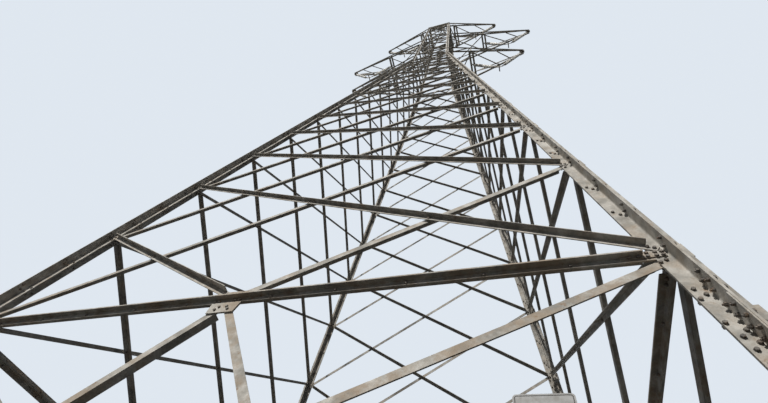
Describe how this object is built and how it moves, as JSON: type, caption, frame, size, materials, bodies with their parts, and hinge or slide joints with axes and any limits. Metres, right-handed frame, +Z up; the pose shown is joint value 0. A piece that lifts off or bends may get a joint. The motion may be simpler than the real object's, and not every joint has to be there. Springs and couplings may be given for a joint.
{
  "type": "lattice transmission pylon",
  "caption": "Lattice steel transmission pylon with spread legs, double-lattice body, slender cage, tapering crossarms, V insulator strings and an earth wire peak",
  "frame": {"origin": "on the ground, on the axis of the pylon, level with the underside of the concrete caps", "axes": "+Z up, X along the crossarms, and the face that carries the sign plate looks along -Y"},
  "size_m": [10.25, 9.0914, 35.3759],
  "materials": {
    "galvanised_steel": "weathered zinc, matt, with thin rust",
    "concrete": "cast, rough",
    "insulator": "glazed, gloss",
    "sign_sheet": "enamel, bare of words"
  },
  "bodies": {
    "root": {"concrete_cap_near_left": "concrete", "concrete_cap_near_right": "concrete", "concrete_cap_far_left": "concrete", "concrete_cap_far_right": "concrete", "leg_lower_near_left": "galvanised_steel", "leg_lower_near_right": "galvanised_steel", "leg_lower_far_left": "galvanised_steel", "leg_lower_far_right": "galvanised_steel", "leg_middle_near_left": "galvanised_steel", "leg_middle_near_right": "galvanised_steel", "leg_middle_far_left": "galvanised_steel", "leg_middle_far_right": "galvanised_steel", "leg_cage_near_left": "galvanised_steel", "leg_cage_near_right": "galvanised_steel", "leg_cage_far_left": "galvanised_steel", "leg_cage_far_right": "galvanised_steel", "base_frame_near": "galvanised_steel", "base_frame_right": "galvanised_steel", "base_frame_far": "galvanised_steel", "base_frame_left": "galvanised_steel", "body_lattice_near": "galvanised_steel", "body_lattice_right": "galvanised_steel", "body_lattice_far": "galvanised_steel", "body_lattice_left": "galvanised_steel", "cage_lattice_near": "galvanised_steel", "cage_lattice_right": "galvanised_steel", "cage_lattice_far": "galvanised_steel", "cage_lattice_left": "galvanised_steel", "crossarm_lower_left": "galvanised_steel", "crossarm_lower_right": "galvanised_steel", "crossarm_middle_left": "galvanised_steel", "crossarm_middle_right": "galvanised_steel", "crossarm_upper_left": "galvanised_steel", "crossarm_upper_right": "galvanised_steel", "v_string_lower_left": "insulator", "v_string_lower_right": "insulator", "v_string_middle_left": "insulator", "v_string_middle_right": "insulator", "v_string_upper_left": "insulator", "v_string_upper_right": "insulator", "earth_wire_peak": "galvanised_steel", "sign_plate": "sign_sheet"}
  },
  "joints": []
}
